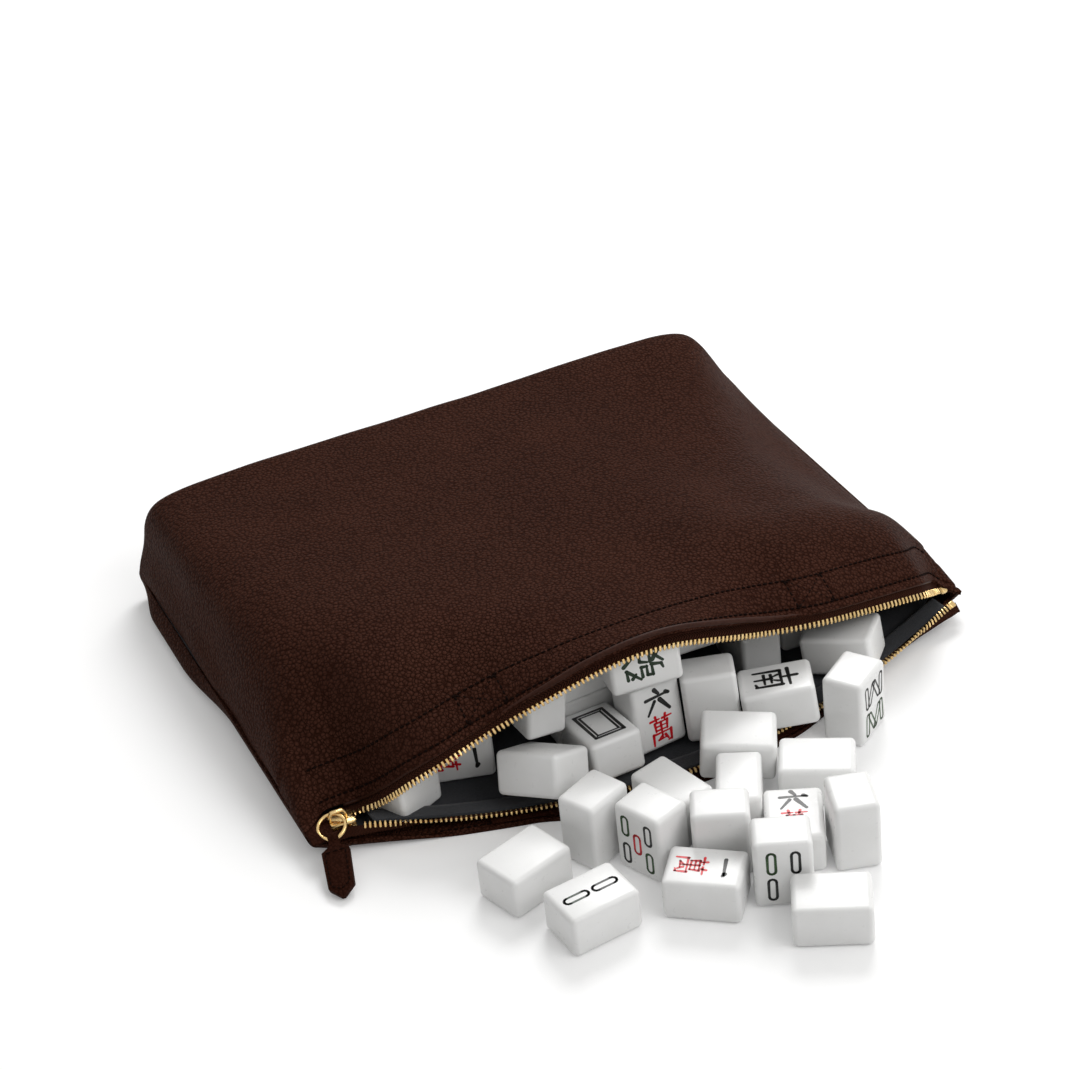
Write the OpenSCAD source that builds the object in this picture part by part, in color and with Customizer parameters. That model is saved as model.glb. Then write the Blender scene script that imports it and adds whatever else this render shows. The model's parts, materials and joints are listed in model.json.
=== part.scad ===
// Mahjong case: a soft leather zip case that lies on its back panel with its mouth open,
// and the tiles that it holds, some in the mouth and some loose on the table before it.
// X runs along the zip, Y from the mouth to the bottom face, and Z is up from the table.

/* [Case] */
// Width between the two side seams
case_w = 320; // [304:2:336]
// Depth from the zip ends to the bottom face
case_d = 224; // [210:2:240]
// Thickness of the filled case at its bottom face
case_h = 56; // [52:1:60]
// Height of the seam between the front and back panels
seam_h = 12; // [10:0.5:14]
// Thickness of the leather
leather_t = 2; // [1.6:0.1:2.2]
// Thickness of the lining cloth
lining_t = 0.8; // [0.6:0.1:1]
// Gap left between two layers that are sewn together
layer_gap = 0.35; // [0.3:0.05:0.5]
// Radius of the front panel's fold at the bottom face
bottom_round = 9; // [7:0.5:12]
// How far the right wall leans in from the seam to the top
right_lean = 24; // [18:1:27]
// How far the left wall leans in from the seam to the top
left_lean = 11; // [8:1:16]
// How far the back panel bulges out beside the left seam
left_bulge = 7; // [3:0.5:9]
// Radius of the turned-up rim of the back panel
rim_r = 8; // [6:0.5:9]

/* [Mouth] */
// Height of the closed zip above the table
zip_h = 9.5; // [9:0.25:11]
// Height that the tiles lift the upper lip
lip_rise = 48; // [44:1:50]
// How far the lifted lip reaches forward
lip_reach = 25; // [20:1:27]
// Place of the highest point of the lip, from the middle of the case
lip_peak = -6; // [-12:1:6]
// How far the tiles near the zip's ends push the upper lip forward
lip_push = 10; // [7:0.5:11]
// How far the lower lip is pulled forward
sag_reach = 39.5; // [36:0.5:41]
// Height of the case just behind the lifted lip
crown_h = 68; // [66:1:72]

/* [Zip] */
// Distance from the left side seam to the middle of the slider
zip_start = 17; // [16:0.5:20]
// Distance from the right side seam to the end of the teeth
zip_end = 6; // [5:0.5:9]
// Pitch of the teeth
tooth_pitch = 2.5; // [2.3:0.1:2.9]
// Length of a tooth along the zip
tooth_w = 1.25; // [1:0.05:1.35]
// Reach of a tooth beyond the edge of its tape
tooth_reach = 1.9; // [1.6:0.1:2]
// Grip of a tooth on its tape
tooth_grip = 1.7; // [1.4:0.1:2]
// Thickness of a tooth
tooth_t = 2.2; // [2:0.1:2.3]
// Thickness of the woven tape
tape_t = 0.7; // [0.5:0.1:0.8]
// Distance between the two tape edges at the slider
chain_gap = 6.4; // [6:0.1:7]

/* [Grip] */
// Length of the stretch where fingers pass behind the leather edge
grip_l = 136; // [120:2:150]
// Length of each crossed box of stitches beside that stretch
box_l = 18; // [14:1:22]
// Width of the strap that stiffens the edge
strap_w = 15; // [13:0.5:17]
// Thickness of the strap
strap_t = 1; // [0.8:0.1:1.2]

/* [Slider and pull] */
// Length of the slider
slider_l = 11; // [10:0.5:12]
// Half of the slider's width
slider_hw = 4.2; // [4:0.1:4.4]
// Thickness of each slider plate
plate_t = 1.2; // [1:0.1:1.3]
// Clearance between the teeth and the plates
plate_gap = 0.3; // [0.25:0.05:0.4]
// Width of the bridge over the slider
bridge_w = 1.8; // [1.6:0.1:2]
// Height of the ring's wire over the top plate
bridge_h = 2.8; // [2.4:0.1:3]
// Radius of the pull ring to the middle of its wire
ring_r = 6; // [5.6:0.2:6.4]
// Diameter of the ring's wire
wire_d = 1.6; // [1.4:0.1:1.7]
// Direction in which the ring lies, seen from above
pull_turn = -138.5; // [-145:0.5:-135]
// Turn of the pull tab from there, round the ring
tab_turn = 31.5; // [28:0.5:38]
// Slope of the ring down from the slider
ring_drop = 22; // [20:1:26]
// Length of the leather pull tab
tab_l = 29; // [26:1:32]
// Width of the leather pull tab
tab_w = 12; // [11:0.5:13]
// Thickness of the folded pull tab
tab_t = 3; // [2.6:0.1:3.2]

/* [Tiles] */
// Length of a tile
tile_l = 32; // [30:0.5:32.5]
// Width of a tile
tile_w = 24; // [22:0.5:24.5]
// Thickness of a tile
tile_t = 19; // [17:0.5:19.2]
// Radius of a tile's edges
tile_r = 1.8; // [1.2:0.1:2.2]

/* [Hidden] */
half_w = case_w / 2;
half_d = case_d / 2;
zip_x0 = -half_w + zip_start;
zip_x1 = half_w - zip_end;
chain_x0 = zip_x0 + slider_l / 2 + 1;
mouth_y = -half_d + 0.5;
skin_gap = leather_t + layer_gap;
front_cols = 44;
front_rows = 13;
round_rows = 4;
leather_colour = "#37211b";
lining_colour = "#3a3b3f";
tape_colour = "#38231d";
brass_colour = "#d9b25c";
tile_colour = "#f2f2f0";

function mix(a, b, t) = a + (b - a) * t;
function clamp(t) = max(0, min(1, t));
function ease(t) = let (s = clamp(t)) s * s * (3 - 2 * s);
function spow(c, e) = sign(c) * pow(abs(c), e);
function unit(v) = v / norm(v);

// The lip's lift, 0 at the zip ends and 1 at its highest point, steeper on the slider's side
function lift(x) =
    x < lip_peak
    ? pow(0.5 * (1 + cos(180 * clamp((lip_peak - x) / (lip_peak - chain_x0 - 4)))), 1.15)
    : let (s = clamp((x - lip_peak) / (zip_x1 - lip_peak)), k = 2.5, tail = 1 / (1 + k * k))
      1 / (1 + k * k * s * s) - tail * s * s;
// The lower lip's reach forward, 0 at the zip ends and 1 in the middle
function sag(x) =
    let (c = (chain_x0 - 6 + zip_x1) / 2, h = (zip_x1 - chain_x0 + 6) / 2)
    1 - pow(clamp(abs(x - c) / h), 1.6);
// 1 along the free stretch of the grip and 0 past its stitched boxes
function free(x) = ease((grip_l / 2 + 2 - abs(x)) / 24);

// Edge of each zip tape, where its teeth sit
sight = 0.71;
function reach(x) =
    (lip_reach + chain_gap / 2) * pow(lift(x), 0.38) * ease((zip_x1 - x) / 26)
    + lip_push * ease((x - chain_x0 - 4.5) / 11) * (1 - ease((x + 0.68 * half_w) / 34))
    + lip_push * 0.6 * ease((x - 0.3 * half_w) / 34) * ease((zip_x1 - x) / 34);
function upper_line(x) =
    [x, mouth_y + chain_gap / 2 - reach(x),
     zip_h + (lip_rise - sight * (lip_reach + chain_gap / 2)) * lift(x) + sight * reach(x)];
function lower_line(x) =
    [x, mouth_y - chain_gap / 2 - sag_reach * sag(x), zip_h - 3.9 * ease(sag(x) * 1.5)];
// Direction from the teeth into each tape
function upper_dir(x) =
    let (a = mix(90, 12, pow(lift(x), 0.4))) [0, sin(a), cos(a)];
function lower_dir(x) =
    let (a = mix(-58, 84, ease(sag(x) * 2.2))) [0, sin(a), -cos(a)];
function slope(x, upper) =
    let (d = 0.2) unit(upper ? upper_line(x + d) - upper_line(x - d) : lower_line(x + d) - lower_line(x - d));
// Width of tape that shows between the leather's edge and the teeth
function tape_show(x) = mix(4.5, 10, lift(x));

// The leather's edge over the upper lip; off is the depth below the outer surface
function lip_edge(x, off) =
    let (d = upper_dir(x), n = [0, -d[2], d[1]], p = upper_line(x),
         stand = 1.3 + leather_t + 2 * free(x) * lift(x) - off)
    p + d * tape_show(x) + n * stand;
// Boxiness of the case's cross-section, softer towards the mouth
function boxy(v) = mix(2.3, 8, ease(v / 0.9));
function body_h(v) = mix(crown_h, case_h, ease(v));
front_wall = 2;
// A point of the front panel: turn is 0 at the right seam and 180 at the left one,
// v runs from the lip to the fold, fold turns over it and drop goes down to the bottom seam
function front_pt(turn, v, fold, drop, off) =
    let (p = boxy(v), a = half_w - off, c = spow(cos(turn), 2 / p), f = spow(sin(turn), 2 / p),
         e = bottom_round - off, h = body_h(v) - off - seam_h, lean = c > 0 ? right_lean : left_lean,
         x = a * c - f * c * lean * h / (case_h - seam_h) * ease(v * 3),
         g = (1 - e / h * (1 - cos(fold))) * (1 - drop),
         lip = lip_edge(x, off), corner = ease((a - abs(x)) / 14),
         y0 = mix(-half_d, lip[1], corner), z0 = mix(seam_h, lip[2], corner),
         w = 1 - pow(1 - clamp(v / 0.36), 3))
    [x, mix(y0, half_d - bottom_round, v) + e * sin(fold), mix(z0, seam_h + layer_gap / 2 + h * f * g, w)];
function front_row(j) =
    j <= front_rows ? [pow(j / front_rows, 1.35), 0, 0]
    : j <= front_rows + round_rows ? [1, 90 * (j - front_rows) / round_rows, 0]
    : [1, 90, (j - front_rows - round_rows) / front_wall];
// The panel's grid, or the part of it from column i0 and row j0 on
function front_grid(off, i0, j0) =
    [for (j = [j0:front_rows + round_rows + front_wall])
        let (r = front_row(j))
        [for (i = [i0:front_cols - i0]) front_pt(180 - 180 * i / front_cols, r[0], r[1], r[2], off)]];

// How far the back panel reaches in front of the lower teeth
function front_edge(x) = mix(5, 3, ease(sag(x) * 2)) + 4 * free(x) * ease((-28 - x) / 18);
// Front edge of the back panel, which hangs clear of the zip along the grip
function back_edge(x) =
    let (p = lower_line(clamp_x(x))) mix(-half_d, p[1] - front_edge(x), ease((half_w - abs(x)) / 16));
function clamp_x(x) = max(zip_x0, min(zip_x1, x));
// A rim profile across width 2a: along it the place s and the height z, from 0 to 1 and back
function rim_place(t, a, r) =
    let (n = 0.12)
    t < n ? [-a + r * (1 - cos(90 * t / n)), 1 - sin(90 * t / n)]
    : t > 1 - n ? [a - r * (1 - cos(90 * (1 - t) / n)), 1 - sin(90 * (1 - t) / n)]
    : [mix(-a + r, a - r, (t - n) / (1 - 2 * n)), 0];
function back_pt(t, u, off) =
    let (q = rim_place(t, half_w - off, rim_r - off), x = q[0],
         m = 0.16, n = 0.07, y0 = back_edge(x), y1 = half_d - off,
         up = u > 1 - m ? 1 - cos(90 * (u - 1 + m) / m) : 0,
         curl = 1 - ease(sag(x) * 2.2), k = min(1, u / n),
         front = y0 + off * curl + 7 * (1 - cos(90 * k)),
         y = u > 1 - m ? y1 - (rim_r - off) * (1 - sin(90 * (u - 1 + m) / m))
             : u < n ? front : mix(y0 + off * curl + 7, y1 - rim_r + off, (u - n) / (1 - m - n)),
         rise = curl * 0.42 * (1 - sin(90 * k)),
         z = max(q[1], up, rise),
         out = (x < 0 ? left_bulge : 0) * ease((y + 20) / 60) * ease((half_d - y) / 30) * (1 - z * z) * ease(-x / half_w * 6 - 4.4))
    [x - out, y, mix(off, seam_h - layer_gap / 2, z)];
back_cols = 34;
back_us = concat([0, 0.035, 0.07, 0.1], [for (j = [1:8]) mix(0.1, 0.84, j / 8)], [0.893, 0.947, 1]);
function back_grid(off, j0) =
    [for (j = [j0:len(back_us) - 1]) [for (i = [0:back_cols]) back_pt(i / back_cols, back_us[j], off)]];

// A closed skin between two grids of points that have the same rows and columns
module skin(outer, inner) {
    rows = len(outer) - 1;
    cols = len(outer[0]) - 1;
    w = cols + 1;
    base = (rows + 1) * w;
    last = rows * w;
    flat = [for (g = [outer, inner]) for (row = g) for (p = row) p];
    top = [for (j = [0:rows - 1]) for (i = [0:cols - 1])
        let (a = j * w + i) each [[a, a + w + 1, a + 1], [a, a + w, a + w + 1]]];
    under = [for (f = top) [f[0] + base, f[2] + base, f[1] + base]];
    near = [for (i = [0:cols - 1]) each [[i, i + 1, i + base], [i + 1, i + 1 + base, i + base]]];
    far = [for (i = [0:cols - 1]) let (a = last + i)
        each [[a, a + base, a + 1], [a + 1, a + base, a + 1 + base]]];
    left = [for (j = [0:rows - 1]) let (a = j * w)
        each [[a, a + base, a + w], [a + w, a + base, a + w + base]]];
    right = [for (j = [0:rows - 1]) let (a = j * w + cols)
        each [[a, a + w, a + base], [a + w, a + w + base, a + base]]];
    polyhedron(flat, concat(top, under, near, far, left, right), convexity = 6);
}

module front_panel() {
    color(leather_colour) skin(front_grid(0, 0, 0), front_grid(leather_t, 0, 0));
}
module front_lining() {
    color(lining_colour) skin(front_grid(skin_gap, 1, 3), front_grid(skin_gap + lining_t, 1, 3));
}
module back_panel() {
    color(leather_colour) skin(back_grid(leather_t, 0), back_grid(0, 0));
}
module back_lining() {
    color(lining_colour) skin(back_grid(skin_gap + lining_t, 3), back_grid(skin_gap, 3));
}

strap_half = grip_l / 2 + box_l;
module front_grip_strap() {
    // The strap follows the inside of the front panel's edge between the stitched boxes
    i0 = round(front_cols * acos(pow(strap_half / half_w, boxy(0) / 2)) / 180);
    v1 = front_row(1)[0];
    v2 = front_row(2)[0];
    reach_v = strap_w / (half_d + half_d);
    function strap_grid(off) =
        [for (k = [0.25, 1, 2]) [for (i = [i0:front_cols - i0])
            let (turn = 180 - 180 * i / front_cols, a = front_pt(turn, 0, 0, 0, off),
                 b = front_pt(turn, v1, 0, 0, off), c = front_pt(turn, v2, 0, 0, off))
            k < 2 ? mix(a, b, k) : mix(b, c, clamp((reach_v - v1) / (v2 - v1)))]];
    color(leather_colour) skin(strap_grid(skin_gap + 0.45), strap_grid(skin_gap + 0.45 + strap_t));
}
module back_grip_strap() {
    function strap_grid(z) =
        [for (k = [0:1]) [for (i = [0:24]) let (x = mix(-strap_half, strap_half, i / 24))
            [x, back_edge(x) + 1 + (strap_w - 2) * k, z]]];
    color(leather_colour) skin(strap_grid(skin_gap + strap_t), strap_grid(skin_gap));
}

// One zip tape, from its edge inside the teeth to where it is sewn in
tape_cols = 120;
module zip_tape(upper) {
    function tape_pt(x, s, h) =
        let (p = upper ? upper_line(x) : lower_line(x), d = upper ? upper_dir(x) : lower_dir(x),
             n = unit(cross(d, slope(x, upper))),
             len = upper ? tape_show(x) + mix(1.4, -3.6, pow(lift(x), 1.7))
                 : min(mix(5.2, 8.4, ease(sag(x) * 2.2)), (p[2] - mix(7, 3.7, ease(sag(x) * 2.2))) / max(0.1, -d[2])))
        p + d * len * s + n * h;
    function tape_grid(h) =
        [for (s = [0:1]) [for (i = [0:tape_cols]) tape_pt(mix(zip_x0 - 5, zip_x1 + 1, i / tape_cols), s, h)]];
    color(tape_colour)
        skin(tape_grid(-tape_t / 2), tape_grid(tape_t / 2));
}
module front_zip_tape() { zip_tape(true); }
module back_zip_tape() { zip_tape(false); }

// A metal tooth that grips the tape's edge: a fork with a rounded head, and the stops like it
module tooth(width, reach, thick) {
    slot = tape_t / 2 + 0.3;
    h = thick / 2;
    linear_extrude(width, center = true)
        polygon([[-tooth_grip, slot], [-tooth_grip, h * 0.8], [-tooth_grip * 0.6, h], [reach * 0.75, h],
            [reach, h * 0.55], [reach, -h * 0.55], [reach * 0.75, -h], [-tooth_grip * 0.6, -h],
            [-tooth_grip, -h * 0.8], [-tooth_grip, -slot], [0.3, -slot], [0.3, slot]]);
}
// Places a child at the tape's edge, its X away from the tape and its Z along the zip
module on_tape(x, upper) {
    p = upper ? upper_line(x) : lower_line(x);
    d = upper ? upper_dir(x) : lower_dir(x);
    t = slope(x, upper);
    n = unit(cross(d, t));
    o = cross(n, t);
    multmatrix([[o[0], n[0], t[0], p[0]], [o[1], n[1], t[1], p[1]], [o[2], n[2], t[2], p[2]]]) children();
}
function step_x(x, upper) = x + tooth_pitch * slope(x, upper)[0];
function places(from, upper) = [for (x = from; x < zip_x1 - 2; x = step_x(x, upper)) x];
module zip_teeth(from, upper) {
    color(brass_colour)
        for (x = places(from, upper)) on_tape(x, upper) tooth(tooth_w, tooth_reach, tooth_t);
}
module front_zip_teeth() { zip_teeth(chain_x0 + 0.4, true); }
module back_zip_teeth() { zip_teeth(chain_x0 + 0.4 + tooth_pitch / 2, false); }
module zip_top_stops() {
    color(brass_colour) {
        on_tape(zip_x1, true) tooth(2, 1.2, 2.6);
        on_tape(zip_x1, false) tooth(2, 1.2, 2.6);
    }
}
stop_l = 2;
module zip_bottom_stop() {
    // A small box that joins the two tapes behind the slider
    x = zip_x0 - slider_l / 2 - 0.4 - stop_l;
    w = chain_gap - 2 * 0.4;
    color(brass_colour)
        translate([x, mouth_y - w / 2, zip_h - 1]) cube([stop_l, w, 1.4]);
}

plate_in = tooth_t / 2 + plate_gap;
plate_out = plate_in + plate_t;
bridge_x = -1.5;
module at_slider() { translate([zip_x0, mouth_y, zip_h]) children(); }
module slider_plate() {
    // Narrow behind and wide in front, where the two rows of teeth come in
    b = slider_l / 2;
    w = slider_hw;
    linear_extrude(plate_t)
        polygon([[-b, -w * 0.7], [-b * 0.8, -w * 0.82], [0, -w * 0.86], [b * 0.55, -w], [b * 0.85, -w],
            [b, -w * 0.8], [b, -w * 0.3], [b * 0.8, 0], [b, w * 0.3], [b, w * 0.8], [b * 0.85, w],
            [b * 0.55, w], [0, w * 0.86], [-b * 0.8, w * 0.82], [-b, w * 0.7]]);
}
module slider_body() {
    flange = 0.5;
    color(brass_colour) at_slider() {
        translate([0, 0, plate_in]) slider_plate();
        translate([0, 0, -plate_out]) slider_plate();
        translate([slider_l * 0.3, 0, -plate_in - 0.1]) cylinder(h = 2 * plate_in + 0.2, r = 0.95, $fn = 24);
        for (s = [-1, 1]) for (z = [plate_in - flange, -plate_in - 0.1])
            translate([-slider_l * 0.42, s * slider_hw * 0.74 - 0.3, z])
                cube([slider_l * 0.38, 0.6, flange + 0.1]);
    }
}
module slider_bridge() {
    // An arch along the slider that keeps the ring
    l = 8.4;
    bar = 1.1;
    rise = bridge_h + wire_d / 2 + 0.25;
    color(brass_colour) at_slider()
        translate([bridge_x, bridge_w / 2, plate_out]) rotate([90, 0, 0])
            linear_extrude(bridge_w)
                polygon([[-l / 2, 0], [-l / 2, rise * 0.55], [-l / 2 + 1.2, rise + bar * 0.7], [-l / 2 + 2, rise + bar],
                    [l / 2 - 2, rise + bar], [l / 2 - 1.2, rise + bar * 0.7], [l / 2, rise * 0.55], [l / 2, 0],
                    [l / 2 - bar, 0], [l / 2 - bar, rise * 0.6], [l / 2 - 2, rise],
                    [-l / 2 + 2, rise], [-l / 2 + bar, rise * 0.6], [-l / 2 + bar, 0]]);
}
// The ring's own frame: X points away from the slider, and Y is the hinge
module at_ring() {
    at_slider() translate([bridge_x, 0, plate_out + bridge_h])
        rotate([0, 0, pull_turn]) rotate([0, ring_drop, 0]) children();
}
module pull_ring() {
    color(brass_colour) at_ring() translate([ring_r, 0, 0])
        rotate_extrude($fn = 48) translate([ring_r, 0]) circle(d = wire_d, $fn = 16);
}
fold_w = 4.6;
fold_r = 2.5;
bore_r = 1.4;
tab_rise = 1;
module pull_tab() {
    // Leather folded round the ring and sewn flat, with a pointed end
    color(leather_colour) at_ring() translate([ring_r, 0, 0]) rotate([0, 0, tab_turn])
        translate([ring_r, 0, 0]) rotate([0, -tab_rise, 0]) translate([-0.2, 0, 0]) {
            rotate([90, 0, 0]) linear_extrude(fold_w, center = true) difference() {
                union() {
                    circle(r = fold_r, $fn = 32);
                    translate([0, -tab_t / 2]) square([fold_r + 2, tab_t]);
                }
                circle(r = bore_r, $fn = 32);
            }
            translate([0, 0, -tab_t / 2]) linear_extrude(tab_t)
                polygon([[fold_r, -fold_w / 2], [fold_r + 1.6, -fold_w / 2], [fold_r + 4, -tab_w / 2],
                    [tab_l - tab_w * 0.4, -tab_w * 0.46], [tab_l, -tab_w * 0.06], [tab_l, tab_w * 0.06],
                    [tab_l - tab_w * 0.4, tab_w * 0.46], [fold_r + 4, tab_w / 2], [fold_r + 1.6, fold_w / 2],
                    [fold_r, fold_w / 2]]);
        }
}

// A tile: a block whose edges are all rounded
function corner_arc(cx, cy, from) =
    [for (k = [0:3]) let (a = from + 30 * k) [cx + tile_r * cos(a), cy + tile_r * sin(a)]];
function soft_rect(a, b) =
    let (u = a / 2 - tile_r, w = b / 2 - tile_r)
    concat(corner_arc(u, w, 0), corner_arc(-u, w, 90), corner_arc(-u, -w, 180), corner_arc(u, -w, 270));
module block(a, b, h) {
    intersection() {
        linear_extrude(h, center = true) polygon(soft_rect(a, b));
        rotate([90, 0, 0]) linear_extrude(b, center = true) polygon(soft_rect(a, h));
        rotate([0, 90, 0]) linear_extrude(a, center = true) polygon(soft_rect(h, b));
    }
}
// Lying on its back, set on a long edge, or standing on its end
module flat_tile() { color(tile_colour) block(tile_l, tile_w, tile_t); }
module edge_tile() { color(tile_colour) block(tile_l, tile_t, tile_w); }
module end_tile() { color(tile_colour) block(tile_w, tile_t, tile_l); }
// The tiles' places keep to the size of the tiles, and spread with a wider case
spread = max(tile_l / 32, tile_w / 24, tile_t / 19);
wide = max(spread, case_w / 320);
// A place on the table, and one among the tiles in the mouth, with y measured from the zip
module on_table(x, y, turn, h) {
    translate([x * wide, mouth_y + y * spread, h / 2]) rotate([0, 0, turn]) children();
}
module in_mouth(x, y, z, turn, pitch = 0, roll = 0) {
    translate([x * wide, mouth_y + y * spread, z * spread]) rotate([roll, pitch, turn]) children();
}

module tile_front_left() { on_table(-89.5, -68, 18, tile_t) flat_tile(); }
module tile_two_bamboo() { on_table(-76, -103, 6.5, tile_t) flat_tile(); }
module tile_one_character() { on_table(-30.5, -113.5, -38, tile_t) flat_tile(); }
module tile_front_right() { on_table(5, -152, -28, tile_t) flat_tile(); }
module tile_stand_left() { on_table(-54, -61.5, 25, tile_l) end_tile(); }
module tile_five_bamboo() { on_table(-37.5, -81, -67, tile_l) end_tile(); }
module tile_stand_right() { on_table(35, -117, -108, tile_l) end_tile(); }
module tile_three_bamboo() { on_table(-1, -123.5, -25, tile_l) end_tile(); }
module tile_edge_middle() { on_table(5.5, -75.5, 61.5, tile_w) edge_tile(); }
module tile_stand_middle() { on_table(-13.5, -95.5, -26, tile_l) end_tile(); }
module tile_edge_left() { on_table(-19.5, -64, -75, tile_w) edge_tile(); }
module tile_six_character() { on_table(16, -102.8, 63.5, tile_t) flat_tile(); }
module tile_flat_right() { on_table(42.5, -75, -31, tile_t) flat_tile(); }
module tile_eight_bamboo() { on_table(76.5, -47.5, 34.5, tile_l) end_tile(); }
module tile_on_lip() { in_mouth(18.9, -49.9, 16.7, -28, 5, 4) flat_tile(); }
module tile_south_wind() { in_mouth(48.3, -31.9, 18.7, -22.5, -5.5, -3.5) flat_tile(); }
module tile_lean_plain() { in_mouth(21.9, -19.9, 21.2, -22, -3, -5.5) end_tile(); }
module tile_lean_six_character() { in_mouth(-4.1, -11.7, 20.9, 6, 0.5, -8.5) end_tile(); }
module tile_green_dragon() { in_mouth(-6.3, -12.1, 50.3, -7, -1.5, -8.5) edge_tile(); }
module tile_white_dragon() { in_mouth(-29, -17, 15.9, 92, 8.5, 0) flat_tile(); }
module tile_mouth_left() { in_mouth(-114.5, 9.5, 12.9, -65, 0.5, 0) flat_tile(); }
module tile_mouth_one_character() { in_mouth(-84.1, 14.5, 15.9, -17.5, 0, 1.5) edge_tile(); }
module tile_mouth_tilted() { in_mouth(-60.7, -26.1, 20.6, -57, -14.5, -24) flat_tile(); }
module tile_mouth_upper() { in_mouth(-51.6, 3.3, 37.2, 94.5, 1, 8) edge_tile(); }
module tile_mouth_lower() { in_mouth(-25, 11, 16, 0, 0, 0) edge_tile(); }
module tile_mouth_top() { in_mouth(-24.8, 11.2, 38.4, 4, 0, -0.5) flat_tile(); }
module tile_mouth_back() { in_mouth(24.7, 7.5, 43.9, 3, 4.5, -4) flat_tile(); }
module tile_mouth_side() { in_mouth(59, 15.5, 16, 86, 0, 0) edge_tile(); }
module tile_mouth_last() { in_mouth(85, 26.5, 16, 86, 0, 0) edge_tile(); }
module tile_mouth_right() { in_mouth(92.7, -9.9, 15.6, -43.5, -7.5, -1.5) flat_tile(); }

front_panel();
back_panel();
front_lining();
back_lining();
front_grip_strap();
back_grip_strap();
front_zip_tape();
back_zip_tape();
front_zip_teeth();
back_zip_teeth();
zip_top_stops();
zip_bottom_stop();
slider_body();
slider_bridge();
pull_ring();
pull_tab();
tile_two_bamboo();
tile_one_character();
tile_five_bamboo();
tile_three_bamboo();
tile_six_character();
tile_eight_bamboo();
tile_front_left();
tile_front_right();
tile_stand_left();
tile_stand_right();
tile_stand_middle();
tile_edge_left();
tile_edge_middle();
tile_flat_right();
tile_on_lip();
tile_south_wind();
tile_lean_plain();
tile_lean_six_character();
tile_green_dragon();
tile_white_dragon();
tile_mouth_left();
tile_mouth_one_character();
tile_mouth_tilted();
tile_mouth_upper();
tile_mouth_lower();
tile_mouth_top();
tile_mouth_back();
tile_mouth_side();
tile_mouth_last();
tile_mouth_right();
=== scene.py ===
import json
import math

import bmesh
import bpy
from mathutils import Matrix, Vector, noise

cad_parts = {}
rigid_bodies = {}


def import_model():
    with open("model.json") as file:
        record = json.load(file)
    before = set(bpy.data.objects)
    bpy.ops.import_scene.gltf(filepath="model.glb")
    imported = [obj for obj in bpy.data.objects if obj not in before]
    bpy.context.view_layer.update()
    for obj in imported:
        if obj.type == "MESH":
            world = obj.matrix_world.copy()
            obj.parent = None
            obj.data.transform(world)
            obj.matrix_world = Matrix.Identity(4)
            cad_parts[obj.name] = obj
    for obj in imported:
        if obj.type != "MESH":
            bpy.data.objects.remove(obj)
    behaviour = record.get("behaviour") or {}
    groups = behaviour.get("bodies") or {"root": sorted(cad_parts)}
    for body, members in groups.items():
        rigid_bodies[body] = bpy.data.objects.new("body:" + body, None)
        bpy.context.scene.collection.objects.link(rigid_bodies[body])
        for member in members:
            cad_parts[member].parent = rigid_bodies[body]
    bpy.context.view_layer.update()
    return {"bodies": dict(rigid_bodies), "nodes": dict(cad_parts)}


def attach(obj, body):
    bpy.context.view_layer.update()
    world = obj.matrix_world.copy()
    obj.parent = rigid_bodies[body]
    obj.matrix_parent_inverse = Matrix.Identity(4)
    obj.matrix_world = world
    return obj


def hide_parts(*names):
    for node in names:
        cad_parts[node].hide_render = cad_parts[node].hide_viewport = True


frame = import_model()
MM = 0.001

# The camera stands where the photographer stood
camera_data = bpy.data.cameras.new("camera")
camera_data.lens = 91.18
camera_data.sensor_width = 36
camera_data.clip_start = 0.05
camera_data.clip_end = 20
camera = bpy.data.objects.new("camera", camera_data)
bpy.context.scene.collection.objects.link(camera)
bpy.context.scene.camera = camera
camera.matrix_world = Matrix((
    (0.9026, 0.30718, -0.30158, -0.3753),
    (-0.41929, 0.46869, -0.77751, -0.9713),
    (-0.09749, 0.82823, 0.55184, 0.7278),
    (0, 0, 0, 1)))


# ---- Finishes

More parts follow.
